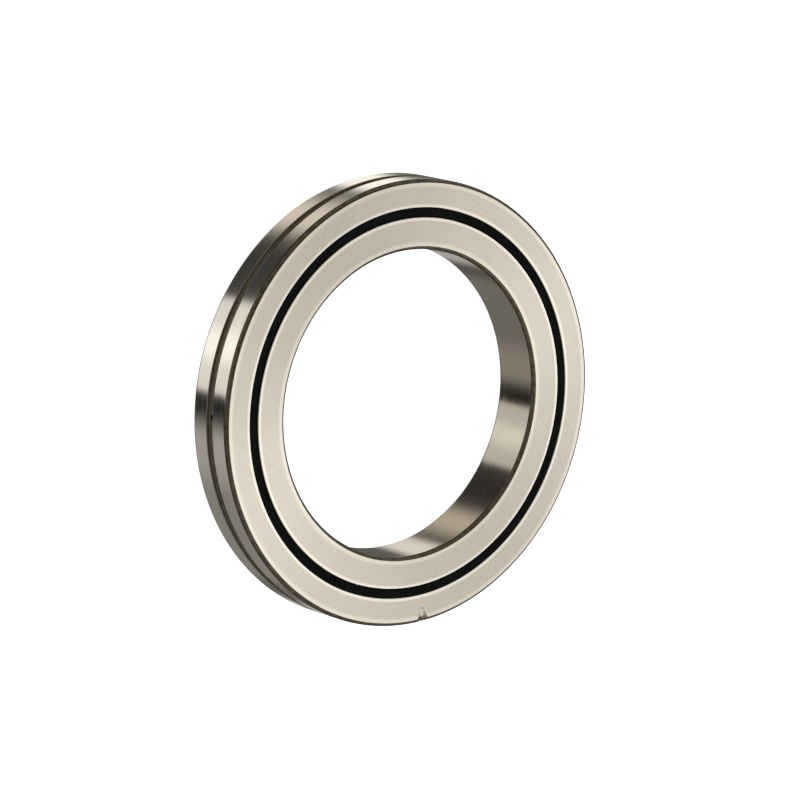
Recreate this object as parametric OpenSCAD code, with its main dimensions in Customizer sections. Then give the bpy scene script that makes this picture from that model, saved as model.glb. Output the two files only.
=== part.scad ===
// Crossed roller bearing: a one-piece inner ring, an outer ring split at its oil groove, cylindrical
// rollers crossed at right angles in a 90 degree raceway, resin spacers between them and a seal on each side.
// The axis is Z, the origin is the bearing's centre, and the front face is at +Z.

/* [Rings] */
// Bore diameter of the inner ring
bore_d = 110; // [104:0.5:114]
// Outside diameter of the outer ring
outer_d = 160; // [158:0.5:172]
// Width of both rings
ring_w = 20; // [19:0.5:26]
// Radius of the rounded corners at the bore and on the outside
corner_r = 1.5; // [0.6:0.1:2]
// Bevel on the small edges beside the seals and at the split
edge_break = 0.2; // [0.1:0.05:0.3]

/* [Raceway] */
// How far the rollers' pitch diameter lies below the mean of bore and outside
pitch_offset = 1; // [0:0.1:2]
// Gap between the two rings' lands beside the raceway
land_gap = 1.2; // [0.8:0.1:1.6]
// Width of the relief groove at the bottom of each V
relief_w = 1.6; // [1:0.1:2]
// Depth of the relief groove below the sharp bottom of the V
relief_depth = 0.3; // [0.2:0.05:0.6]

/* [Rollers] */
// Roller diameter
roller_d = 9; // [8.4:0.1:9.4]
// Roller length, a little less than the diameter
roller_len = 8.6; // [7.6:0.1:8.8]
// Bevel at the ends of a roller
roller_bevel = 0.4; // [0.2:0.05:0.7]
// Number of rollers, even so that they alternate
roller_count = 36; // [30:2:38]
// Gap between a roller and the raceway
roller_clearance = 0.1; // [0.05:0.01:0.2]

/* [Spacers] */
// Diameter of a spacer, across the raceway
spacer_d = 7.6; // [6:0.1:8]
// Length of a spacer along the raceway, with its saddles
spacer_len = 6.4; // [4.5:0.1:7]
// Gap between a spacer's saddle and its roller
spacer_clearance = 0.15; // [0.1:0.01:0.25]

/* [Seals] */
// Radial width of the sealed gap beside the inner ring
seal_band = 3.5; // [3:0.1:4]
// Depth of the seal's seat below the ring's face
seal_seat_depth = 2.5; // [2.2:0.1:3]
// How far the seal lies below the ring's face
seal_recess = 0.3; // [0.1:0.05:0.5]
// Gap between the seal's lip and the inner ring
lip_clearance = 0.15; // [0.1:0.01:0.3]
// Height of the bead that holds the seal in its seat
bead_h = 0.5; // [0.3:0.05:0.7]
// Width of the bead
bead_w = 0.9; // [0.6:0.05:1.1]
// Gap between the seal and its seat
seal_fit = 0.05; // [0.02:0.01:0.1]

/* [Oil groove] */
// Width of the oil groove round the outside
groove_w = 3.5; // [2.5:0.1:4]
// Depth of the oil groove
groove_depth = 1.2; // [0.8:0.1:1.6]
// Diameter of the oil holes in the groove
oil_hole_d = 2; // [1.5:0.1:2.5]
// Number of oil holes, and of the screws between them
oil_hole_count = 3; // [2:1:4]
// Angle from the match mark to the first oil hole
oil_hole_angle = -96; // [-120:1:-60]

/* [Match mark] */
// Angle of the V notch in both outer halves
mark_angle = -90; // [-180:5:180]
// Length of the notch along the face
mark_len = 6; // [3:0.1:7]
// Slope of the bottom of the notch
mark_slope = 17; // [8:1:24]
// Angle between the two sides of the notch
mark_v = 120; // [90:5:130]

/* [Screws] */
// Thread diameter of the screws that hold the outer halves together
screw_d = 2; // [1.6:0.1:2.2]
// Length of a screw under its head
screw_len = 12; // [10:0.5:13]
// Diameter of the screw's head
screw_head_d = 3.8; // [3.4:0.1:4]
// Height of the screw's head
screw_head_h = 2; // [1.6:0.1:2.2]
// Width across the flats of the screw's socket
screw_socket = 1.5; // [1.2:0.1:1.6]
// How far the head lies below the rear face
screw_recess = 0.4; // [0.2:0.05:0.8]
// Gap round the head and the shank
screw_clearance = 0.1; // [0.05:0.05:0.2]

/* [Hidden] */
$fn = 96;
bore_r = bore_d / 2;
outer_r = outer_d / 2;
half_w = ring_w / 2;
pitch_r = (bore_d + outer_d) / 4 - pitch_offset / 2;

// The V raceway is a square stood on its corner round the pitch circle.
raceway_reach = (roller_d / 2 + roller_clearance) * sqrt(2);
inner_land_r = pitch_r - land_gap / 2;
outer_land_r = pitch_r + land_gap / 2;
mouth_z = raceway_reach - land_gap / 2;
relief_z = relief_w / 2;
relief_side = raceway_reach - relief_z;
relief_reach = raceway_reach + relief_depth;

// Seal seat in the outer halves, and the seal in it
seat_r = inner_land_r + seal_band;
seat_z = half_w - seal_seat_depth;
seal_top = half_w - seal_recess;
seal_lip_r = inner_land_r + lip_clearance;
bead_z = (seat_z + seal_top) / 2;
lip_tip = 0.3;
lip_bevel = 0.45;
lip_thickness = 1.2;

groove_floor_r = outer_r - groove_depth;
groove_mouth = edge_break;
first_oil_hole = mark_angle + oil_hole_angle;
oil_hole_step = 360 / oil_hole_count;

// The screws stand in the wall between the raceway's relief and the oil groove, midway between oil holes.
screw_r = (pitch_r + relief_reach + groove_floor_r) / 2;
screw_count = oil_hole_count;
screw_step = oil_hole_step;
first_screw = first_oil_hole + oil_hole_step / 2;
screw_seat_z = -half_w + screw_recess + screw_head_h;
tap_spare = 1;
tap_clearance = screw_clearance / 2;
socket_depth = screw_head_h / 2;

roller_step = 360 / roller_count;
overcut = 1;
steel = [0.78, 0.76, 0.72];
bright_steel = [0.85, 0.85, 0.86];
black_rubber = [0.05, 0.05, 0.05];
resin = [0.86, 0.82, 0.70];
dark_steel = [0.25, 0.25, 0.27];

function roller_name(i) = str("roller_", i < 10 ? "0" : "", i);
function screw_name(i) = str("securing_screw_", i);

// Takes a square corner at the origin, with the material below and to the left, down to a rounded one.
module corner_cut() {
    difference() {
        translate([-corner_r, -corner_r]) square(corner_r + overcut);
        translate([-corner_r, -corner_r]) circle(corner_r);
    }
}

// Half section of one outer half: V face, land, seal seat with its bead groove, face, rim and oil groove.
module outer_half_section() {
    difference() {
        polygon([
            [pitch_r + relief_reach, 0],
            [pitch_r + relief_reach, relief_z],
            [pitch_r + relief_side, relief_z],
            [outer_land_r, mouth_z],
            [outer_land_r, seat_z],
            [seat_r, seat_z],
            [seat_r, bead_z - bead_w / 2],
            [seat_r + bead_h, bead_z - bead_w / 2],
            [seat_r + bead_h, bead_z + bead_w / 2],
            [seat_r, bead_z + bead_w / 2],
            [seat_r, half_w - edge_break],
            [seat_r + edge_break, half_w],
            [outer_r, half_w],
            [outer_r, groove_w / 2 + groove_mouth],
            [outer_r - groove_mouth, groove_w / 2],
            [groove_floor_r, groove_w / 2],
            [groove_floor_r, edge_break],
            [groove_floor_r - edge_break, 0]
        ]);
        translate([outer_r, half_w]) corner_cut();
    }
}

// V notch whose bottom runs down and out from a point on the face to the rim.
module match_mark() {
    notch_len = mark_len * 2;
    notch_half = mark_len * tan(mark_v / 2);
    rotate(mark_angle) translate([outer_r - mark_len, 0, half_w])
        rotate([0, mark_slope, 0]) rotate([90, 0, 90]) linear_extrude(notch_len)
            polygon([[0, 0], [notch_half, mark_len], [-notch_half, mark_len]]);
}

// Radial oil holes at the split, half in each outer half.
module oil_holes() {
    for (i = [0:oil_hole_count - 1])
        rotate(first_oil_hole + i * oil_hole_step)
            translate([outer_land_r, 0, 0]) rotate([0, 90, 0])
                cylinder(d = oil_hole_d, h = outer_r - outer_land_r + overcut);
}

// Puts its children at a screw's place, with the underside of the head at the origin.
module at_screw(i) {
    rotate(first_screw + (i - 1) * screw_step) translate([screw_r, 0, screw_seat_z]) children();
}

module outer_half() {
    difference() {
        rotate_extrude() outer_half_section();
        match_mark();
        oil_holes();
    }
}

module outer_ring_front() {
    color(steel) difference() {
        outer_half();
        for (i = [1:screw_count])
            at_screw(i) cylinder(r = screw_d / 2 + tap_clearance, h = screw_len + tap_spare);
    }
}

module outer_ring_rear() {
    color(steel) difference() {
        mirror([0, 0, 1]) outer_half();
        for (i = [1:screw_count])
            at_screw(i) {
                cylinder(r = screw_d / 2 + screw_clearance, h = half_w);
                mirror([0, 0, 1]) cylinder(r = screw_head_d / 2 + screw_clearance, h = half_w);
            }
    }
}

// Half section of the inner ring, from its middle up: bore, face, land and V face.
module inner_half_section() {
    difference() {
        polygon([
            [bore_r, 0],
            [bore_r, half_w],
            [inner_land_r - edge_break, half_w],
            [inner_land_r, half_w - edge_break],
            [inner_land_r, mouth_z],
            [pitch_r - relief_side, relief_z],
            [pitch_r - relief_reach, relief_z],
            [pitch_r - relief_reach, 0]
        ]);
        translate([bore_r, half_w]) mirror([1, 0]) corner_cut();
    }
}

module inner_ring() {
    color(steel) rotate_extrude() {
        inner_half_section();
        mirror([0, 1]) inner_half_section();
    }
}

// Seal ring: a body on the seat's floor, a bead in the seat's groove and a lip towards the inner ring.
module seal_ring() {
    wall_r = seat_r - seal_fit;
    bead_half = bead_w / 2 - seal_fit;
    rotate_extrude() polygon([
        [seal_lip_r, seal_top - lip_bevel],
        [seal_lip_r + lip_bevel, seal_top],
        [wall_r, seal_top],
        [wall_r, bead_z + bead_half],
        [wall_r + bead_h, bead_z + bead_half],
        [wall_r + bead_h, bead_z - bead_half],
        [wall_r, bead_z - bead_half],
        [wall_r, seat_z],
        [outer_land_r, seat_z],
        [outer_land_r, seal_top - lip_thickness],
        [seal_lip_r + lip_tip, seal_top - lip_thickness],
        [seal_lip_r, seal_top - lip_bevel - lip_tip]
    ]);
}

module front_seal() {
    color(black_rubber) seal_ring();
}

module rear_seal() {
    color(black_rubber) mirror([0, 0, 1]) seal_ring();
}

// Puts its children at a roller's place, turned so that their Z is the roller's axis.
// Odd rollers lean outwards towards the front face, even ones inwards.
module at_roller(i) {
    lean = i % 2 == 1 ? 45 : -45;
    rotate((i - 1) * roller_step) translate([pitch_r, 0, 0]) rotate([0, lean, 0]) children();
}

// Cylinder with bevelled ends, turned from its half section.
module roller(i) {
    roller_r = roller_d / 2;
    half_len = roller_len / 2;
    color(bright_steel) at_roller(i) rotate_extrude() polygon([
        [0, -half_len],
        [roller_r - roller_bevel, -half_len],
        [roller_r, -half_len + roller_bevel],
        [roller_r, half_len - roller_bevel],
        [roller_r - roller_bevel, half_len],
        [0, half_len]
    ]);
}

// Short resin rod along the raceway, hollowed at each end into a saddle for the roller there.
module spacer(i) {
    saddle_r = roller_d / 2 + spacer_clearance;
    saddle_len = roller_d * 2;
    difference() {
        rotate((i - 0.5) * roller_step) translate([pitch_r, 0, 0]) rotate([90, 0, 0])
            cylinder(d = spacer_d, h = spacer_len, center = true);
        for (side = [0, 1])
            at_roller(i + side) cylinder(r = saddle_r, h = saddle_len, center = true);
    }
}

module roller_spacers() {
    color(resin) for (i = [1:roller_count]) spacer(i);
}

// Socket head screw, head down, from the rear face into the front half.
module securing_screw(i) {
    across_corners = screw_socket / cos(30);
    color(dark_steel) at_screw(i) difference() {
        union() {
            cylinder(d = screw_d, h = screw_len);
            mirror([0, 0, 1]) cylinder(d = screw_head_d, h = screw_head_h);
        }
        translate([0, 0, -screw_head_h - overcut])
            cylinder(d = across_corners, h = socket_depth + overcut, $fn = 6);
    }
}

outer_ring_front();
outer_ring_rear();
inner_ring();
front_seal();
rear_seal();
roller_spacers();
for (i = [1:roller_count]) roller(i);
for (i = [1:screw_count]) securing_screw(i);
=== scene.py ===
"""Crossed roller bearing: finished surfaces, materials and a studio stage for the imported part.

The rings and the seals are surfaces of revolution that stand for the part's own nodes. The rollers, the
spacers and the screws keep their nodes and get their finishes here. Lengths are in metres, in the part's own
frame.
"""

import math

import bmesh
import bpy
import numpy as np
from bpy.props import FloatProperty, FloatVectorProperty, IntProperty, PointerProperty
from mathutils import Matrix, Vector


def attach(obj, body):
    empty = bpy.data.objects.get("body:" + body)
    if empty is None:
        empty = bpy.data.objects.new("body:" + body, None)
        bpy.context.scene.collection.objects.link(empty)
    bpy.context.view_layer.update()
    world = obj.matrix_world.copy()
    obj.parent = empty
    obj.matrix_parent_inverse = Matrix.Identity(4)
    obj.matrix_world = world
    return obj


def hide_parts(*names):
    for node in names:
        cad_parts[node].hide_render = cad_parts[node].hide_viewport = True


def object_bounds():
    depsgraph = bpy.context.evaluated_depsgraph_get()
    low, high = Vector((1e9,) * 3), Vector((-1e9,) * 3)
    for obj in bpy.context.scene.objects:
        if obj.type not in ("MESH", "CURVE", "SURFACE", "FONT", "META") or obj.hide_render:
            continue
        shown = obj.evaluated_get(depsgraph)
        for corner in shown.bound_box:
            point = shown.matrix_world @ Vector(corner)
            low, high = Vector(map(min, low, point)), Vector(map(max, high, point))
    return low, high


bl_info = {
    "name": "Crossed roller bearing",
    "version": (1, 0, 0),
    "blender": (4, 5, 0),
    "location": "3D View > Sidebar > Bearing",
    "description": "Finished rings, seals, rollers and stage of a crossed roller bearing",
    "category": "Object",
}

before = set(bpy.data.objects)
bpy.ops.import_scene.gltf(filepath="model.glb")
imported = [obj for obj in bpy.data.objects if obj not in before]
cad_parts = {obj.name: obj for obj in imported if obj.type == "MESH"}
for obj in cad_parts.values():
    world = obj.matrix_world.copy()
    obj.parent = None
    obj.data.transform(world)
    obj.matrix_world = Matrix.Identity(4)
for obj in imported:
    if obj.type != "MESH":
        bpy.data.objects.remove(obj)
cad_box = [list(corner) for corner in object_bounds()]

WHOLE_TURN = 2 * math.pi

# Finishes of a ring's strips, by material slot
FACE, WALL, SCALE, CUT = range(4)

# Strips of a rounded corner and of a small fillet, and the short flat strip beside a corner
CORNER_STRIPS = 12
FILLET_STRIPS = 6
SUPPORT = 0.00002

# Sides of a round cutter, the angle from which an edge is sharp, and how near two points of a cut are one
CUTTER_SIDES = 64
SHARP_ANGLE = math.radians(30)
MERGE = 2e-6

# Grain of the finishes: noise cells in a metre
RING_LINES = 1400.0
MARK_PATCHES = 38.0
FACE_CLOUDS = 90.0
WALL_LINES = 2600.0
WALL_CLOUDS = 70.0
SCALE_MOTTLE = 420.0
TURNED_LINES = 2500.0
FEED_LINES = 3000.0
RUBBER_GRAIN = 2600.0
RUBBER_BLOOM = 120.0
RESIN_GRAIN = 3000.0
RESIN_CLOUDS = 260.0
LAPPING = 900.0
OXIDE_WEAR = 1300.0

# Wheel marks of a ground face: noise cells in a unit of direction, and their slant in radians for each metre
# of radius
WHEEL_MARKS = 42.0
WHEEL_SLANT = 14.0

# Depth of the grain in the bump
RING_DEPTH = 2e-6
WALL_DEPTH = 1e-6
TURNED_DEPTH = 4e-6
FEED_DEPTH = 3e-6
RUBBER_DEPTH = 8e-6
RESIN_DEPTH = 6e-6

# Painted highlight on a ground face's edges: how far from the seal and from the corner it ends, and is full
SEAL_HIGHLIGHT = (0.0015, 0.0006)
CORNER_HIGHLIGHT = (0.0017, 0.0006)

# Camera: width of its sensor in millimetres, and how far it sees, in times its distance
SENSOR_W = 36.0
SIGHT = 20

# Floor, overhead lamp, and the drum below the floor that carries the light cards
FLOOR_REACH = 9.0
LAMP_SIZE = 1.6
LAMP_HEIGHT = 1.2
DRUM_GAP = 0.002
DRUM_DEPTH = 3.0

# Light from above: its colour and level, the heights of the horizon's blur, and the angles from the camera's
# direction at which the low light fades
SKY_TINT = (1.0, 0.985, 0.955)
SKY_LEVEL = 0.28
HORIZON = (-0.02, 0.03)
BEHIND = (math.radians(140), math.radians(160))

# The bright arc: its pole, how far it lies off the pole's plane, its half width, the middle of its length,
# and the cosines from the middle between which its ends fade
ARC_POLE = (-0.023, -0.944, -0.329)
ARC_OFFSET = 0.12
ARC_HALF = 0.30
ARC_MIDDLE = (0.579, -0.234, 0.781)
ARC_ENDS = (0.45, 0.80)

# Weak light without a card, and the colours of a cool and of a warm card
FILL = 0.12
COOL_CARD = (1.0, 0.97, 0.92, 1.0)
WARM_CARD = (1.0, 0.90, 0.74, 1.0)

# Studio cards and black flags seen in the round walls: degrees from the camera's direction where one starts,
# is full, starts to fade and ends, then its strength; a card also has its warmth
CARDS = (
    (-31.5, -28, 19, 21.5, 0.70, 0.0),
    (-19, -7, -2, 8, 0.32, 0.0),
    (-116, -89, -85, -66, 0.61, 1.0),
    (-155, -139, -124, -113, 0.97, 0.1),
    (31, 45, 54, 78, 0.14, 0.3),
    (30, 46, 124, 144, 0.12, 0.2),
    (146, 164, 174, 180, 0.40, 0.0),
)
FLAGS = (
    (-78, -56, -33, -29, 0.6),
    (19.5, 21.5, 26, 40, 0.92),
)


def length(name, description, default):
    return FloatProperty(name=name, description=description, default=default, min=0, precision=5,
                         unit="LENGTH")


def angle(name, description, degrees):
    return FloatProperty(name=name, description=description, default=math.radians(degrees), unit="ROTATION",
                         subtype="ANGLE")


def factor(name, description, default):
    return FloatProperty(name=name, description=description, default=default, min=0, max=1, subtype="FACTOR")


def colour(name, description, default):
    return FloatVectorProperty(name=name, description=description, default=default, size=3, min=0, max=1,
                               subtype="COLOR")


class RingSizes(bpy.types.PropertyGroup):
    """Sizes of the two rings and of the raceway between them."""

    outer_d: length("Outside", "Outside diameter of the outer ring", 0.160)
    bore_d: length("Bore", "Bore diameter of the inner ring", 0.110)
    width: length("Width", "Width of both rings", 0.020)
    corner_r: length("Corner", "Radius of the rounded corners at the bore and on the outside", 0.0015)
    edge: length("Edge", "Bevel on the small edges beside the seals and at the split", 0.0002)
    pitch_r: length("Pitch radius", "Radius of the circle through the rollers' centres", 0.067)
    land_gap: length("Land gap", "Gap between the two rings' lands beside the raceway", 0.0012)
    raceway_half: length("Raceway", "Half the width of the square that the V raceways make", 0.0046)
    relief_w: length("Relief width", "Width of the relief groove at the bottom of each V", 0.0016)
    relief_depth: length("Relief depth", "Depth of the relief groove below the bottom of the V", 0.0003)
    segments: IntProperty(name="Segments", description="Strips round a ring", default=480, min=96, max=960)


class SealSizes(bpy.types.PropertyGroup):
    """Sizes of the seals and of their seats."""

    band: length("Band", "Radial width of the sealed gap beside the inner ring", 0.0035)
    seat_depth: length("Seat depth", "Depth of the seal's seat below the ring's face", 0.0025)
    recess: length("Recess", "How far the seal lies below the ring's face", 0.0003)
    lip_gap: length("Lip gap", "Gap between the seal's lip and the inner ring", 0.00015)
    lip_bevel: length("Lip bevel", "Bevel on top of the lip", 0.00045)
    lip_tip: length("Lip tip", "Bevel under the lip", 0.0003)
    lip_thickness: length("Lip thickness", "Thickness of the lip", 0.0012)
    bead_h: length("Bead height", "Height of the bead that holds the seal in its seat", 0.0005)
    bead_w: length("Bead width", "Width of the bead", 0.0009)
    fit: length("Fit", "Gap between the seal and its seat", 0.00005)
    round_r: length("Rounding", "Radius on the seal's outer edge", 0.0003)


class CutSizes(bpy.types.PropertyGroup):
    """Sizes of what is cut into the outer halves: oil groove, oil holes, match mark and screw holes."""

    groove_w: length("Groove width", "Width of the oil groove round the outside", 0.0035)
    groove_depth: length("Groove depth", "Depth of the oil groove", 0.0012)
    groove_r: length("Groove fillet", "Fillet at the bottom of the oil groove", 0.0003)
    hole_d: length("Oil hole", "Diameter of the oil holes", 0.002)
    hole_count: IntProperty(name="Oil holes", description="Oil holes, and screws between them", default=3,
                            min=1)
    hole_angle: angle("First oil hole", "Angle of the first oil hole round the axis", -186)
    mark_angle: angle("Match mark", "Angle of the match mark round the axis", -90)
    mark_len: length("Mark length", "Length of the match mark along the face", 0.006)
    mark_slope: angle("Mark slope", "Slope of the bottom of the match mark", 17)
    mark_v: angle("Mark V", "Angle between the two sides of the match mark", 120)
    screw_r: length("Screw circle", "Radius of the circle through the screws", 0.0763025)
    shank_hole: length("Shank hole", "Radius of the screw's clearance hole", 0.0011)
    tap_hole: length("Tapped hole", "Radius of the screw's tapped hole", 0.00105)
    tap_top: length("Tapped depth", "Height of the end of the tapped hole above the split", 0.0054)
    head_hole: length("Head hole", "Radius of the counterbore for the screw's head", 0.002)
    head_seat: length("Head seat", "Depth of the seat of the screw's head below the split", 0.0076)


class Finishes(bpy.types.PropertyGroup):
    """Colours of the materials, and the roughness of the round walls."""

    face: colour("Ground face", "Satin ground steel of the flat faces", (0.70, 0.652, 0.573))
    rim: colour("Ground rim", "Fine ground steel of the outside", (0.86, 0.825, 0.765))
    rim_rough: factor("Rim roughness", "Roughness of the outside", 0.13)
    # Painted shade: the bore's colour is the rim's ground steel made darker
    bore: colour("Ground bore", "Fine ground steel of the bore", (0.57, 0.522, 0.455))
    bore_rough: factor("Bore roughness", "Roughness of the bore", 0.14)
    scale: colour("Scale", "Brown heat treatment colour left in the turned corners and the oil groove",
                  (0.108, 0.090, 0.067))
    rubber: colour("Rubber", "Black nitrile rubber of the seals", (0.0022, 0.0021, 0.0021))
    resin: colour("Resin", "Resin of the spacers", (0.68, 0.60, 0.42))
    roller: colour("Roller", "Lapped steel of the rollers", (0.82, 0.82, 0.83))
    screw: colour("Screw", "Black oxide of the screws", (0.03, 0.03, 0.033))


class StageSettings(bpy.types.PropertyGroup):
    """Camera, floor and light."""

    azimuth: angle("Azimuth", "Direction of the camera round the axis", 158.0)
    elevation: angle("Elevation", "Height of the camera above the floor", 51.357)
    roll: angle("Roll", "Turn of the camera about its own line of sight", 104.549)
    distance: length("Distance", "From the camera to the middle of the front face", 1.594)
    aside: length("Aside", "How far the camera stands to the left of the line to the middle", 0.00415)
    above: length("Above", "How far the camera stands above the line to the middle", 0.00152)
    lens: FloatProperty(name="Lens", description="Focal length in millimetres", default=203.31, min=1)
    floor: colour("Floor", "Pale floor", (0.90, 0.90, 0.90))
    glow: factor("Glow", "Light that the light table sends up through the floor", 0.85)
    key: FloatProperty(name="Key", description="Power of the overhead light", default=5.0, min=0,
                       unit="POWER")


class BearingSettings(bpy.types.PropertyGroup):
    """All the settings of the bearing."""

    ring: PointerProperty(type=RingSizes)
    seal: PointerProperty(type=SealSizes)
    cuts: PointerProperty(type=CutSizes)
    finish: PointerProperty(type=Finishes)
    stage: PointerProperty(type=StageSettings)


class Wire:
    """An output socket in a node tree. Arithmetic on wires adds Math nodes, and node() adds any other."""

    def __init__(self, tree, socket=None):
        self.tree = tree
        self.socket = socket

    def node(self, kind, settings=None, sockets=None, out=0):
        """Adds a node with its settings, then the values or links of its sockets; gives one output."""
        made = self.tree.nodes.new(kind)
        for name, value in (settings or {}).items():
            setattr(made, name, value)
        for name, value in (sockets or {}).items():
            if isinstance(value, Wire):
                self.tree.links.new(value.socket, made.inputs[name])
            else:
                made.inputs[name].default_value = value
        return Wire(self.tree, made.outputs[out] if made.outputs else None)

    def out(self, name):
        """Another output of the node that this wire comes from."""
        return Wire(self.tree, self.socket.node.outputs[name])

    def math(self, operation, *values):
        return self.node("ShaderNodeMath", {"operation": operation}, dict(enumerate(values)))

    def vector(self, operation, *values):
        return self.node("ShaderNodeVectorMath", {"operation": operation}, dict(enumerate(values)))

    def here(self):
        """The point that is shaded, in the object's own coordinates."""
        return self.node("ShaderNodeTexCoord", out="Object")

    def join(self, x, y, z):
        return self.node("ShaderNodeCombineXYZ", {}, {0: x, 1: y, 2: z})

    def parts(self):
        """The three parts of this vector."""
        x = self.node("ShaderNodeSeparateXYZ", {}, {0: self})
        return x, x.out("Y"), x.out("Z")

    def turned(self, turn):
        """This vector turned about the axis."""
        sockets = {"Vector": self, "Angle": turn}
        return self.node("ShaderNodeVectorRotate", {"rotation_type": "Z_AXIS"}, sockets)

    def dot(self, direction):
        """How far this vector reaches in a direction."""
        sockets = {0: self, 1: direction}
        return self.node("ShaderNodeVectorMath", {"operation": "DOT_PRODUCT"}, sockets, "Value")

    def tinted(self, tint):
        """Light as strong as this wire, in the colour tint."""
        return self.node("ShaderNodeVectorMath", {"operation": "SCALE"}, {0: tint, "Scale": self})

    def step(self, low, high):
        """0 below low and 1 above high, smooth between them; falls instead if low is above high."""
        sockets = {"Value": self, "From Min": low, "From Max": high}
        return self.node("ShaderNodeMapRange", {"interpolation_type": "SMOOTHSTEP"}, sockets)

    def mix(self, first, second):
        """The colour first where this wire is 0 and second where it is 1."""
        return self.node("ShaderNodeMix", {"data_type": "RGBA"}, {0: self, 6: first, 7: second}, 2)

    def noise(self, vector, scale, detail=2.0):
        sockets = {"Vector": vector, "Scale": scale, "Detail": detail}
        return self.node("ShaderNodeTexNoise", {}, sockets, "Fac")

    def __add__(self, other):
        return self.math("ADD", self, other)

    def __sub__(self, other):
        return self.math("SUBTRACT", self, other)

    def __rsub__(self, other):
        return self.math("SUBTRACT", other, self)

    def __mul__(self, other):
        return self.math("MULTIPLY", self, other)

    def __truediv__(self, other):
        return self.math("DIVIDE", self, other)

    __radd__ = __add__
    __rmul__ = __mul__


def opaque(rgb):
    return (*rgb, 1.0)


def shade(rgb, share):
    """The colour times share, as far as white."""
    return opaque(min(1.0, share * part) for part in rgb)


def blank(name):
    """A new material with an empty node tree, and a wire to build in it."""
    material = bpy.data.materials.new(name)
    material.use_nodes = True
    material.node_tree.nodes.clear()
    return material, Wire(material.node_tree)


def surface(start, sockets):
    """Ends a material with one Principled shader."""
    shader = start.node("ShaderNodeBsdfPrincipled", {}, sockets)
    start.node("ShaderNodeOutputMaterial", {}, {"Surface": shader})


def polar(start):
    """The shaded point, its height, its distance from the axis and the unit vector away from the axis."""
    here = start.here()
    x, y, height = here.parts()
    radius = start.math("SQRT", x * x + y * y)
    return here, height, radius, start.join(x / radius, y / radius, 0.0)


def heading(start, vector, zero):
    """Angle of a vector round the axis, from the direction zero."""
    x, y, _ = vector.turned(-zero).parts()
    return start.math("ARCTAN2", y, x)


def bump(start, height, depth):
    return start.node("ShaderNodeBump", {}, {"Strength": 1.0, "Distance": depth, "Height": height})


def ground_face_finish(name, settings):
    """Satin ground steel: fine rings round the axis, faint slanting wheel marks, painted edge highlights."""
    material, start = blank(name)
    here, _, radius, outward = polar(start)
    rings = start.noise(start.vector("ADD", start.join(radius * RING_LINES, 0.0, 0.0), outward), 1.0, 3.0)
    wheel = start.noise(outward.turned(radius * WHEEL_SLANT), WHEEL_MARKS, 3.0)
    marks = (wheel - 0.5) * start.noise(here, MARK_PATCHES, 1.0).step(0.45, 0.72)
    clouds = start.noise(here, FACE_CLOUDS)
    ring, band = settings.ring, settings.seal.band
    seal_mid = ring.pitch_r - ring.land_gap / 2 + band / 2
    face_mid = (ring.outer_d + ring.bore_d) / 4
    face_half = (ring.outer_d - ring.bore_d) / 4 - ring.corner_r
    from_seal = start.math("ABSOLUTE", radius - seal_mid) - band / 2
    from_corner = face_half - start.math("ABSOLUTE", radius - face_mid)
    # Painted highlight: the base colour is made lighter beside the seal and beside the corners
    wear_and_highlight = start.math("MAXIMUM", from_seal.step(*SEAL_HIGHLIGHT), from_corner.step(*CORNER_HIGHLIGHT) * 0.55)
    tone = 0.43 + (rings - 0.5) * 0.23 + marks * 0.6 + (clouds - 0.5) * 0.115 + wear_and_highlight * 0.54
    rgb = settings.finish.face
    base = start.math("MINIMUM", tone, 1.0).mix(shade(rgb, 0.7), shade(rgb, 1.4))
    rough = 0.36 + marks * 0.14 + (rings - 0.5) * 0.08 - wear_and_highlight * 0.05
    surface(start, {"Base Color": base, "Metallic": 1.0, "Roughness": rough, "Anisotropic": 0.88,
                    "Anisotropic Rotation": 0.25, "Normal": bump(start, rings, RING_DEPTH)})
    return material


def ground_wall_finish(name, rgb, roughness):
    """Fine ground steel of a round wall: thin lines round the axis that broaden and fade along it."""
    material, start = blank(name)
    here, height, _, outward = polar(start)
    spread = start.vector("MULTIPLY", outward, (3.0, 3.0, 0.0))
    lines = start.noise(start.vector("ADD", start.join(0.0, 0.0, height * WALL_LINES), spread), 1.0, 3.0)
    clouds = start.noise(here, WALL_CLOUDS)
    tone = 0.5 + (lines - 0.5) * 0.9 + (clouds - 0.5) * 0.3
    base = tone.mix(shade(rgb, 0.86), shade(rgb, 1.12))
    rough = roughness + (lines - 0.5) * 0.10 + (clouds - 0.5) * 0.04
    surface(start, {"Base Color": base, "Metallic": 1.0, "Roughness": rough,
                    "Normal": bump(start, lines, WALL_DEPTH)})
    return material


def scale_finish(name, settings):
    """Heat treatment colour on turned steel: brown mottled with grey, over fine turning lines.

    Painted light: the oil groove is made lighter to lift its shade, less so on the groove's floor.
    """
    material, start = blank(name)
    here, height, radius, _ = polar(start)
    mottle = start.noise(here, SCALE_MOTTLE, 4.0)
    turning = start.noise(start.join(radius * TURNED_LINES, 0.0, height * TURNED_LINES), 1.0)
    off_floor = radius - (settings.ring.outer_d / 2 - settings.cuts.groove_depth)
    off_mouth = start.math("ABSOLUTE", height) - settings.cuts.groove_w / 2
    in_groove = off_mouth.step(0.00035, -0.00005)
    # Painted light that lifts the shade in the groove, strongest on its walls
    painted_groove_light = in_groove * (1.0 - off_floor.step(0.0005, 0.0002) * 0.55)
    spots = (mottle * 0.55 + turning * 0.45).step(0.25, 0.8)
    rgb = settings.finish.scale
    base = (spots * 0.4 + painted_groove_light * 0.42).mix(shade(rgb, 0.5), shade(rgb, 3.4))
    rough = 0.40 - in_groove * 0.1 + (turning - 0.5) * 0.16
    surface(start, {"Base Color": base, "Metallic": 1.0 - in_groove * 0.2, "Roughness": rough,
                    "Normal": bump(start, turning, TURNED_DEPTH)})
    return material


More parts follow.
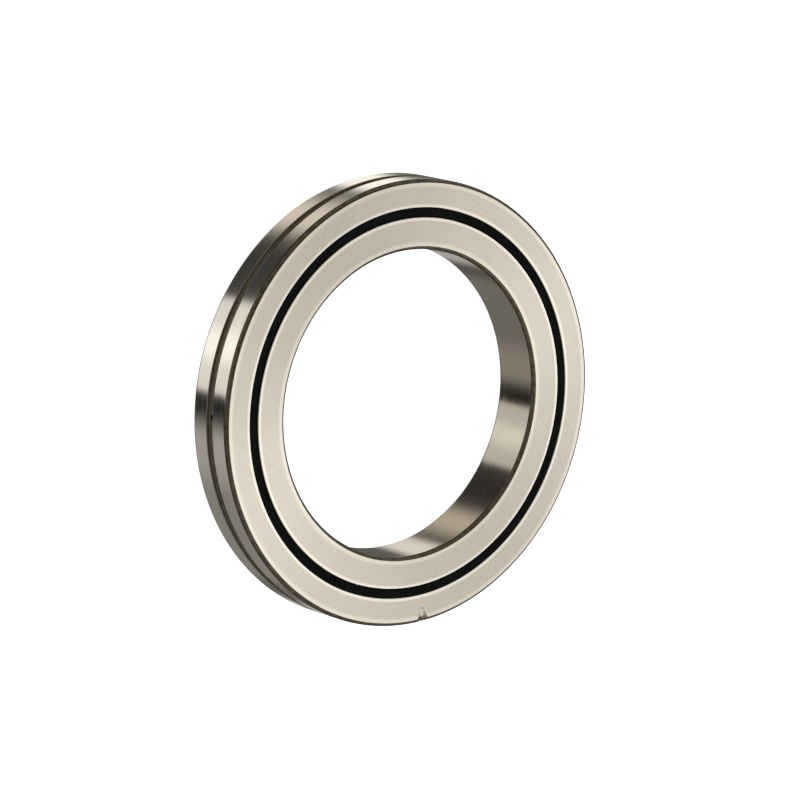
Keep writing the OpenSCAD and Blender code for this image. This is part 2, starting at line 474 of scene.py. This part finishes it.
def cut_finish(name, settings):
    """Cut steel of the match mark and the drilled holes: dark, with a bright patch on the bottom of the
    mark.

    Distances along the mark start at its tip.
    """
    material, start = blank(name)
    here, _, radius, _ = polar(start)
    x, y, _ = here.turned(-settings.cuts.mark_angle).parts()
    along = x - (settings.ring.outer_d / 2 - settings.cuts.mark_len)
    aside = start.math("ABSOLUTE", y)
    bright_patch = aside.step(0.0011, 0.0005) * along.step(0.0008, 0.0016) * along.step(0.0046, 0.0036)
    feed = start.noise(start.join(radius * FEED_LINES, 0.0, 0.0), 1.0, 1.0)
    rgb = settings.finish.scale
    side = along.step(0.0034, 0.0052).mix(shade(rgb, 4.2), shade(rgb, 1.5))
    base = (bright_patch * (0.85 + feed * 0.3)).mix(side, shade(settings.finish.rim, 1.1))
    surface(start, {"Base Color": base, "Metallic": 1.0, "Roughness": 0.38 - bright_patch * 0.12 + feed * 0.08,
                    "Normal": bump(start, feed, FEED_DEPTH)})
    return material


def rubber_finish(name, settings):
    """Black moulded rubber: matt, with a fine grain and a trace of bloom."""
    material, start = blank(name)
    here = start.here()
    grain = start.noise(here, RUBBER_GRAIN)
    bloom = start.noise(here, RUBBER_BLOOM, 3.0)
    rgb = settings.finish.rubber
    base = bloom.step(0.35, 0.8).mix(shade(rgb, 0.8), shade(rgb, 2.0))
    surface(start, {"Base Color": base, "Roughness": 0.55 + grain * 0.2, "Specular IOR Level": 0.06,
                    "Normal": bump(start, grain, RUBBER_DEPTH)})
    return material


def resin_finish(name, settings):
    """Moulded resin of the spacers: warm, slightly cloudy, with a fine grain."""
    material, start = blank(name)
    here = start.here()
    clouds = start.noise(here, RESIN_CLOUDS, 3.0)
    grain = start.noise(here, RESIN_GRAIN, 1.0)
    rgb = settings.finish.resin
    base = clouds.step(0.3, 0.7).mix(shade(rgb, 0.88), shade(rgb, 1.08))
    surface(start, {"Base Color": base, "Roughness": 0.36 + grain * 0.16,
                    "Normal": bump(start, grain, RESIN_DEPTH)})
    return material


def roller_finish(name, settings):
    """Lapped roller steel: bright, with very faint cloudy lapping marks."""
    material, start = blank(name)
    lapping = start.noise(start.here(), LAPPING, 4.0)
    rgb = settings.finish.roller
    base = lapping.mix(shade(rgb, 0.92), shade(rgb, 1.06))
    surface(start, {"Base Color": base, "Metallic": 1.0, "Roughness": 0.08 + lapping * 0.1})
    return material


def screw_finish(name, settings):
    """Black oxide on the screws, a little worn to steel."""
    material, start = blank(name)
    wear_and_highlight = start.noise(start.here(), OXIDE_WEAR, 4.0)
    rgb = settings.finish.screw
    base = wear_and_highlight.step(0.52, 0.8).mix(opaque(rgb), shade(rgb, 4.0))
    surface(start, {"Base Color": base, "Metallic": 1.0, "Roughness": 0.45 - wear_and_highlight * 0.15})
    return material


def finish_once(name, make, *args):
    """The material of this name, made the first time it is asked for."""
    return bpy.data.materials.get(name) or make(name, *args)


def arc(centre, radius, start, end, strips):
    """Points of a circle, centre + radius (cos t, sin t), with t in even steps from start to end degrees."""
    t = np.radians(np.linspace(start, end, strips + 1))
    return np.stack([centre[0] + radius * np.cos(t), centre[1] + radius * np.sin(t)], axis=1)


def corner(centre, radius, start, end, first, last):
    """A rounded corner: the ground finishes first and last run a little way onto the turned arc."""
    points = arc(centre, radius, start, end, CORNER_STRIPS)
    return [(first, points[:2]), (SCALE, points[2:-1]), (last, points[-1:])]


def joined(runs):
    """Joins runs of (finish, points): all the points, and the finish of the strip that leads to each."""
    points = [np.asarray(run, float).reshape(-1, 2) for _, run in runs]
    leads = np.repeat([finish for finish, _ in runs], [len(run) for run in points])
    return np.concatenate(points), leads


def outline(runs):
    """One closed outline of the runs, with the finish of the strip that leaves each point."""
    points, leads = joined(runs)
    return points, np.roll(leads, -1)


def mirrored(points, finish):
    """The same outline below the split: heights change sign, and the order turns to stay clockwise."""
    return points[::-1] * (1, -1), np.roll(finish[::-1], -1)


def circles(profile, a):
    """Points (r cos a, r sin a, z) for each (r, z) of the profile and each angle a round the axis."""
    r, z = profile[:, :1], profile[:, 1:]
    return np.stack([r * np.cos(a), r * np.sin(a), z + 0 * a], axis=2).reshape(-1, 3)


def revolve(points, finish, segments):
    """Surface of revolution: (r cos a, r sin a, z) for each outline point (r, z) and even angles a."""
    verts = circles(points, np.arange(segments) * (WHOLE_TURN / segments))
    here = np.arange(len(points) * segments).reshape(len(points), segments)
    on = np.roll(here, -1, axis=0)
    quads = np.stack([here, on, np.roll(on, -1, axis=1), np.roll(here, -1, axis=1)], axis=2).reshape(-1, 4)
    return verts, quads, np.repeat(finish, segments)


def smooth(mesh):
    """Shades the mesh smooth apart from its sharp edges."""
    mesh.shade_smooth()
    mesh.set_sharp_from_angle(angle=SHARP_ANGLE)


def put_mesh(name, verts, faces, finish, materials):
    """A mesh object at the origin with these vertices and faces; finish is each face's material slot."""
    mesh = bpy.data.meshes.new(name)
    mesh.from_pydata(verts, [], faces)
    for material in materials:
        mesh.materials.append(material)
    mesh.polygons.foreach_set("material_index", np.asarray(finish, np.int32))
    smooth(mesh)
    piece = bpy.data.objects.new(name, mesh)
    bpy.context.scene.collection.objects.link(piece)
    return piece


def moved(verts, place):
    """The points moved by the matrix place."""
    turn = np.array(place)
    return verts @ turn[:3, :3].T + turn[:3, 3]


def drill(profile, place):
    """Closed cutter: circles of radius r at heights z for each (r, z), capped at both ends, moved by place.

    The circles' corners stand half a side off the ring's own strips, so that no corner falls on an edge.
    """
    profile = np.asarray(profile, float)
    verts = circles(profile, (np.arange(CUTTER_SIDES) + 0.5) * (WHOLE_TURN / CUTTER_SIDES))
    here = np.arange(len(verts)).reshape(len(profile), CUTTER_SIDES)
    low, high = here[:-1], here[1:]
    walls = np.stack([low, np.roll(low, -1, axis=1), np.roll(high, -1, axis=1), high], axis=2).reshape(-1, 4)
    return moved(verts, place), walls.tolist() + [here[0][::-1].tolist(), here[-1].tolist()]


def notch(cuts, ring):
    """Closed cutter of the match mark: a V carried along its bottom, which slopes down and outward."""
    high = cuts.mark_len
    wide = high * math.tan(cuts.mark_v / 2)
    section = np.array([(0, 0), (wide, high), (-wide, high)])
    along = np.repeat([0.0, 2 * cuts.mark_len], len(section))
    corners = np.column_stack([along, np.tile(section, (2, 1))])
    place = (Matrix.Rotation(cuts.mark_angle, 4, "Z")
             @ Matrix.Translation((ring.outer_d / 2 - cuts.mark_len, 0, ring.width / 2))
             @ Matrix.Rotation(cuts.mark_slope, 4, "Y"))
    return moved(corners, place), [[0, 2, 1], [3, 4, 5], [0, 1, 4, 3], [0, 3, 5, 2], [1, 2, 5, 4]]


def cut(piece, cutters, finish):
    """Takes the cutters away from the piece for good; what they leave has the given finish."""
    for verts, faces in cutters:
        tool = put_mesh("cutter", verts, faces, np.full(len(faces), finish), [])
        step = piece.modifiers.new("cut", "BOOLEAN")
        step.operation = "DIFFERENCE"
        step.solver = "EXACT"
        step.object = tool
        bpy.context.view_layer.update()
        done = bpy.data.meshes.new_from_object(piece.evaluated_get(bpy.context.evaluated_depsgraph_get()))
        piece.modifiers.clear()
        old = piece.data
        piece.data = done
        bpy.data.meshes.remove(old)
        bpy.data.objects.remove(tool)
    work = bmesh.new()
    work.from_mesh(piece.data)
    bmesh.ops.remove_doubles(work, verts=work.verts, dist=MERGE)
    bmesh.ops.dissolve_degenerate(work, edges=work.edges, dist=MERGE)
    work.to_mesh(piece.data)
    work.free()
    smooth(piece.data)


def hand_over(piece, body, node):
    """The piece rides on its body and stands for its node, which it hides."""
    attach(piece, body)
    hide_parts(node)


def raceway(ring):
    """From the pitch circle: where the relief cuts the V's sides, the relief's bottom, and the V's mouth."""
    reach = ring.raceway_half * math.sqrt(2)
    return reach - ring.relief_w / 2, reach + ring.relief_depth, reach - ring.land_gap / 2


def outer_half_outline(settings):
    """Closed outline of the front outer half, clockwise from the bottom of the raceway's relief."""
    ring, seal, cuts = settings.ring, settings.seal, settings.cuts
    side, reach, mouth = raceway(ring)
    outer, half, edge, round_r = ring.outer_d / 2, ring.width / 2, ring.edge, ring.corner_r
    land = ring.pitch_r + ring.land_gap / 2
    seat = ring.pitch_r - ring.land_gap / 2 + seal.band
    floor = half - seal.seat_depth
    bead = (floor + half - seal.recess) / 2
    bead_low, bead_high = bead - seal.bead_w / 2, bead + seal.bead_w / 2
    groove, fillet = cuts.groove_w / 2, cuts.groove_r
    bottom = outer - cuts.groove_depth
    return outline([
        (SCALE, [(ring.pitch_r + reach, 0), (ring.pitch_r + reach, ring.relief_w / 2),
                 (ring.pitch_r + side, ring.relief_w / 2)]),
        (WALL, [(land, mouth), (land, floor), (seat, floor), (seat, bead_low),
                (seat + seal.bead_h, bead_low), (seat + seal.bead_h, bead_high), (seat, bead_high),
                (seat, half - edge), (seat + edge, half)]),
        (FACE, [(outer - round_r - SUPPORT, half)]),
        *corner((outer - round_r, half - round_r), round_r, 90, 0, FACE, WALL),
        (WALL, [(outer, half - round_r - SUPPORT), (outer, groove + edge)]),
        (SCALE, [(outer - edge, groove)]),
        (SCALE, arc((bottom + fillet, groove - fillet), fillet, 90, 180, FILLET_STRIPS)),
        (SCALE, [(bottom, edge), (bottom - edge, 0)]),
    ])


def inner_ring_outline(settings):
    """Closed outline of the inner ring, clockwise from the bore: its upper half, then the mirrored half."""
    ring = settings.ring
    side, reach, mouth = raceway(ring)
    bore, half, edge, round_r = ring.bore_d / 2, ring.width / 2, ring.edge, ring.corner_r
    land = ring.pitch_r - ring.land_gap / 2
    points, leads = joined([
        (WALL, [(bore, half - round_r - SUPPORT)]),
        *corner((bore + round_r, half - round_r), round_r, 180, 90, WALL, FACE),
        (FACE, [(bore + round_r + SUPPORT, half), (land - edge, half)]),
        (WALL, [(land, half - edge), (land, mouth), (ring.pitch_r - side, ring.relief_w / 2)]),
        (SCALE, [(ring.pitch_r - reach, ring.relief_w / 2)]),
    ])
    low_points = points[::-1] * (1, -1)
    low_leads = np.concatenate([[SCALE], leads[1:][::-1]])
    return np.concatenate([points, low_points]), np.roll(np.concatenate([leads, low_leads]), -1)


def seal_outline(settings):
    """Closed outline of the front seal, clockwise from its lip: flat top, rounded edge, bead and foot."""
    ring, seal = settings.ring, settings.seal
    half = ring.width / 2
    lip = ring.pitch_r - ring.land_gap / 2 + seal.lip_gap
    land = ring.pitch_r + ring.land_gap / 2
    seat = ring.pitch_r - ring.land_gap / 2 + seal.band - seal.fit
    floor, top, round_r = half - seal.seat_depth, half - seal.recess, seal.round_r
    bead = (floor + top) / 2
    bead_half = seal.bead_w / 2 - seal.fit
    under = top - seal.lip_thickness
    return outline([
        (0, [(lip, top - seal.lip_bevel), (lip + seal.lip_bevel, top), (seat - round_r - SUPPORT, top)]),
        (0, arc((seat - round_r, top - round_r), round_r, 90, 0, FILLET_STRIPS)),
        (0, [(seat, bead + bead_half), (seat + seal.bead_h, bead + bead_half),
             (seat + seal.bead_h, bead - bead_half), (seat, bead - bead_half), (seat, floor), (land, floor),
             (land, under), (lip + seal.lip_tip, under), (lip, top - seal.lip_bevel - seal.lip_tip)]),
    ])


class BEARING_OT_outer_halves(bpy.types.Operator):
    """Build the two halves of the outer ring, with oil groove, oil holes, match mark and screw holes"""

    bl_idname = "bearing.outer_halves"
    bl_label = "Outer halves"

    def execute(self, context):
        settings = context.scene.bearing
        ring, cuts, finishes = settings.ring, settings.cuts, settings.finish
        materials = [
            finish_once("ground_face", ground_face_finish, settings),
            finish_once("ground_rim", ground_wall_finish, finishes.rim, finishes.rim_rough),
            finish_once("heat_scale", scale_finish, settings),
            finish_once("cut_steel", cut_finish, settings),
        ]
        outer, half, spare = ring.outer_d / 2, ring.width / 2, cuts.hole_d / 2
        hole_step = WHOLE_TURN / cuts.hole_count
        oil, tapped, bored = [], [], []
        for i in range(cuts.hole_count):
            hole = (Matrix.Rotation(cuts.hole_angle + i * hole_step, 4, "Z")
                    @ Matrix.Rotation(math.pi / 2, 4, "Y"))
            oil.append(drill([(cuts.hole_d / 2, ring.pitch_r), (cuts.hole_d / 2, outer + spare)], hole))
            screw = (Matrix.Rotation(cuts.hole_angle + (i + 0.5) * hole_step, 4, "Z")
                     @ Matrix.Translation((cuts.screw_r, 0, 0)))
            tapped.append(drill([(cuts.tap_hole, -spare), (cuts.tap_hole, cuts.tap_top)], screw))
            bored.append(drill([(cuts.head_hole, -half - spare), (cuts.head_hole, -cuts.head_seat),
                                (cuts.shank_hole, -cuts.head_seat), (cuts.shank_hole, spare)], screw))
        mark_verts, mark_faces = notch(cuts, ring)
        rear_mark = (mark_verts * (1, 1, -1), [face[::-1] for face in mark_faces])
        points, finish = outer_half_outline(settings)
        front = put_mesh("front_half", *revolve(points, finish, ring.segments), materials)
        cut(front, [(mark_verts, mark_faces)] + oil + tapped, CUT)
        hand_over(front, "outer_ring", "outer_ring_front")
        rear = put_mesh("rear_half", *revolve(*mirrored(points, finish), ring.segments), materials)
        cut(rear, [rear_mark] + oil + bored, CUT)
        hand_over(rear, "outer_ring", "outer_ring_rear")
        return {"FINISHED"}


class BEARING_OT_inner_ring(bpy.types.Operator):
    """Build the one-piece inner ring"""

    bl_idname = "bearing.inner_ring"
    bl_label = "Inner ring"

    def execute(self, context):
        settings = context.scene.bearing
        finishes = settings.finish
        materials = [
            finish_once("ground_face", ground_face_finish, settings),
            finish_once("ground_bore", ground_wall_finish, finishes.bore, finishes.bore_rough),
            finish_once("heat_scale", scale_finish, settings),
        ]
        points, finish = inner_ring_outline(settings)
        inner = put_mesh("bore_ring", *revolve(points, finish, settings.ring.segments), materials)
        hand_over(inner, "inner_ring", "inner_ring")
        return {"FINISHED"}


class BEARING_OT_seals(bpy.types.Operator):
    """Build the front and rear seals"""

    bl_idname = "bearing.seals"
    bl_label = "Seals"

    def execute(self, context):
        settings = context.scene.bearing
        materials = [finish_once("lip_rubber", rubber_finish, settings)]
        points, finish = seal_outline(settings)
        segments = settings.ring.segments
        front = put_mesh("front_lip_seal", *revolve(points, finish, segments), materials)
        hand_over(front, "outer_ring", "front_seal")
        rear = put_mesh("rear_lip_seal", *revolve(*mirrored(points, finish), segments), materials)
        hand_over(rear, "outer_ring", "rear_seal")
        return {"FINISHED"}


def wear(stem, material):
    """Puts the material on every node whose name without its number is this one."""
    nodes = [node for name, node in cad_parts.items() if name.rstrip("0123456789") == stem]
    if not nodes:
        raise RuntimeError(f"no node is named {stem}")
    for node in nodes:
        for slot in node.material_slots:
            slot.material = material


class BEARING_OT_rollers(bpy.types.Operator):
    """Finish the rollers, which keep their nodes"""

    bl_idname = "bearing.rollers"
    bl_label = "Rollers"

    def execute(self, context):
        wear("roller_", finish_once("lapped_steel", roller_finish, context.scene.bearing))
        return {"FINISHED"}


class BEARING_OT_spacers(bpy.types.Operator):
    """Finish the spacers between the rollers, which keep their node"""

    bl_idname = "bearing.spacers"
    bl_label = "Spacers"

    def execute(self, context):
        wear("roller_spacers", finish_once("moulded_resin", resin_finish, context.scene.bearing))
        return {"FINISHED"}


class BEARING_OT_screws(bpy.types.Operator):
    """Finish the screws of the outer ring, which keep their nodes"""

    bl_idname = "bearing.screws"
    bl_label = "Screws"

    def execute(self, context):
        wear("securing_screw_", finish_once("black_oxide", screw_finish, context.scene.bearing))
        return {"FINISHED"}


def stretch(seen, rise, full, fade, end):
    """1 between full and fade degrees, 0 before rise and after end, smooth between them."""
    rise, full, fade, end = np.radians([rise, full, fade, end]).tolist()
    return seen.step(rise, full) * seen.step(end, fade)


def card_light(start, seen):
    """Light of the cards at an angle from the camera's direction, dimmed by the flags, and its warmth."""
    light, warm = FILL, 0.0
    for *edges, strength, warmth in CARDS:
        card = stretch(seen, *edges) * strength
        light = card + light
        warm = card * warmth + warm
    warm = start.math("MINIMUM", warm / light, 1.0)
    for *edges, strength in FLAGS:
        light = light * (1.0 - stretch(seen, *edges) * strength)
    return light, warm


class BEARING_OT_stage(bpy.types.Operator):
    """Set the camera, the pale floor, the light cards and the soft studio light"""

    bl_idname = "bearing.stage"
    bl_label = "Stage"

    def execute(self, context):
        scene = context.scene
        settings = scene.bearing
        self.place_camera(scene, settings)
        self.lay_floor(settings.stage)
        self.hang_cards(settings)
        self.light(scene, settings.stage)
        scene.view_settings.view_transform = "Standard"
        return {"FINISHED"}

    def place_camera(self, scene, settings):
        """A camera that looks back along its direction from the front face's middle, turned by its roll."""
        stage = settings.stage
        flat = math.cos(stage.elevation)
        back = Vector((flat * math.cos(stage.azimuth), flat * math.sin(stage.azimuth),
                       math.sin(stage.elevation)))
        level = Vector((0, 0, 1)).cross(back).normalized()
        right = level * math.cos(stage.roll) + back.cross(level) * math.sin(stage.roll)
        up = back.cross(right)
        middle = Vector((0, 0, settings.ring.width / 2))
        data = bpy.data.cameras.new("photo_camera")
        data.lens = stage.lens
        data.sensor_width = SENSOR_W
        data.clip_end = SIGHT * stage.distance
        camera = bpy.data.objects.new("photo_camera", data)
        camera.matrix_world = Matrix((right, up, back)).transposed().to_4x4()
        camera.location = middle + back * stage.distance - right * stage.aside + up * stage.above
        scene.collection.objects.link(camera)
        scene.camera = camera

    def lay_floor(self, stage):
        """A pale light table under the part: a flat square that gloss doesn't show."""
        x, y = np.meshgrid([-FLOOR_REACH, FLOOR_REACH], [-FLOOR_REACH, FLOOR_REACH])
        verts = np.stack([x, y, np.full_like(x, cad_box[0][2])], axis=2).reshape(-1, 3)
        material, start = blank("light_table")
        surface(start, {"Base Color": opaque(stage.floor), "Roughness": 0.9, "Specular IOR Level": 0.0,
                        "Emission Color": (1.0, 1.0, 1.0, 1.0), "Emission Strength": stage.glow})
        floor = put_mesh("light_table", verts, [[0, 1, 3, 2]], [0], [material])
        floor.visible_glossy = False

    def hang_cards(self, settings):
        """A drum below the floor, as far from the axis as the camera is, that carries cards and flags.

        Only gloss shows it, and it is open at the top. The rim shows the drum's angle b at
        b + (r / R) sin(b / 2), with r and R the radii of rim and drum. The cards are given by that angle.
        """
        stage, rim = settings.stage, settings.ring.outer_d / 2
        reach = stage.distance * math.cos(stage.elevation)
        top = cad_box[0][2] - DRUM_GAP
        verts, faces = drill([(reach, top - DRUM_DEPTH), (reach, top)], Matrix.Identity(4))
        material, start = blank("light_cards")
        material.cycles.emission_sampling = "NONE"
        b = heading(start, start.here(), stage.azimuth)
        light, warm = card_light(start, b + start.math("SINE", b * 0.5) * (rim / reach))
        glow = light.tinted(warm.mix(COOL_CARD, WARM_CARD))
        surface(start, {"Base Color": (0.0, 0.0, 0.0, 1.0), "Roughness": 1.0, "Specular IOR Level": 0.0,
                        "Emission Color": glow, "Emission Strength": 1.0})
        drum = put_mesh("light_cards", verts, faces[:-1], np.zeros(len(faces) - 1), [material])
        drum.visible_camera = False
        drum.visible_diffuse = False
        drum.visible_shadow = False

    def light(self, scene, stage):
        """Soft light above, brighter along one arc, low down and overhead, and a weak fill below."""
        world = bpy.data.worlds.new("studio")
        world.use_nodes = True
        world.node_tree.nodes.clear()
        start = Wire(world.node_tree)
        way = start.node("ShaderNodeTexCoord", out="Generated")
        height = way.parts()[2]
        behind = start.math("ABSOLUTE", heading(start, way, stage.azimuth)).step(*BEHIND)
        across = (way.dot(ARC_POLE) - ARC_OFFSET) / ARC_HALF
        off_square = across * across
        near = way.dot(ARC_MIDDLE).step(*ARC_ENDS)
        arc_light = start.math("EXPONENT", off_square * off_square * -1.0) * near
        low_light = height.step(0.75, 0.5) * (1.0 - behind) * 0.45
        top_light = height.step(0.93, 0.98) * 0.3
        upper = (SKY_LEVEL + arc_light + low_light + top_light).tinted(SKY_TINT)
        sky = height.step(*HORIZON).mix((FILL, FILL, FILL, 1.0), upper)
        shader = start.node("ShaderNodeBackground", {}, {"Color": sky, "Strength": 1.0})
        start.node("ShaderNodeOutputWorld", {}, {"Surface": shader})
        scene.world = world
        data = bpy.data.lights.new("overhead", "AREA")
        data.energy = stage.key
        data.size = LAMP_SIZE
        lamp = bpy.data.objects.new("overhead", data)
        lamp.location = (0, 0, LAMP_HEIGHT)
        lamp.visible_glossy = False
        scene.collection.objects.link(lamp)


class BEARING_PT_parts(bpy.types.Panel):
    """Sidebar panel that lists the bearing's pieces"""

    bl_idname = "BEARING_PT_parts"
    bl_label = "Crossed roller bearing"
    bl_space_type = "VIEW_3D"
    bl_region_type = "UI"
    bl_category = "Bearing"

    def draw(self, context):
        for operator in OPERATORS:
            self.layout.operator(operator.bl_idname, text=operator.bl_label)


GROUPS = (RingSizes, SealSizes, CutSizes, Finishes, StageSettings, BearingSettings)
OPERATORS = (BEARING_OT_outer_halves, BEARING_OT_inner_ring, BEARING_OT_seals, BEARING_OT_rollers,
             BEARING_OT_spacers, BEARING_OT_screws, BEARING_OT_stage)


def register():
    for part in (*GROUPS, *OPERATORS, BEARING_PT_parts):
        bpy.utils.register_class(part)
    bpy.types.Scene.bearing = PointerProperty(type=BearingSettings)


def unregister():
    del bpy.types.Scene.bearing
    for part in reversed((*GROUPS, *OPERATORS, BEARING_PT_parts)):
        bpy.utils.unregister_class(part)


def main():
    register()
    bpy.ops.bearing.outer_halves()
    bpy.ops.bearing.inner_ring()
    bpy.ops.bearing.seals()
    bpy.ops.bearing.rollers()
    bpy.ops.bearing.spacers()
    bpy.ops.bearing.screws()
    bpy.ops.bearing.stage()


if __name__ == "__main__":
    main()
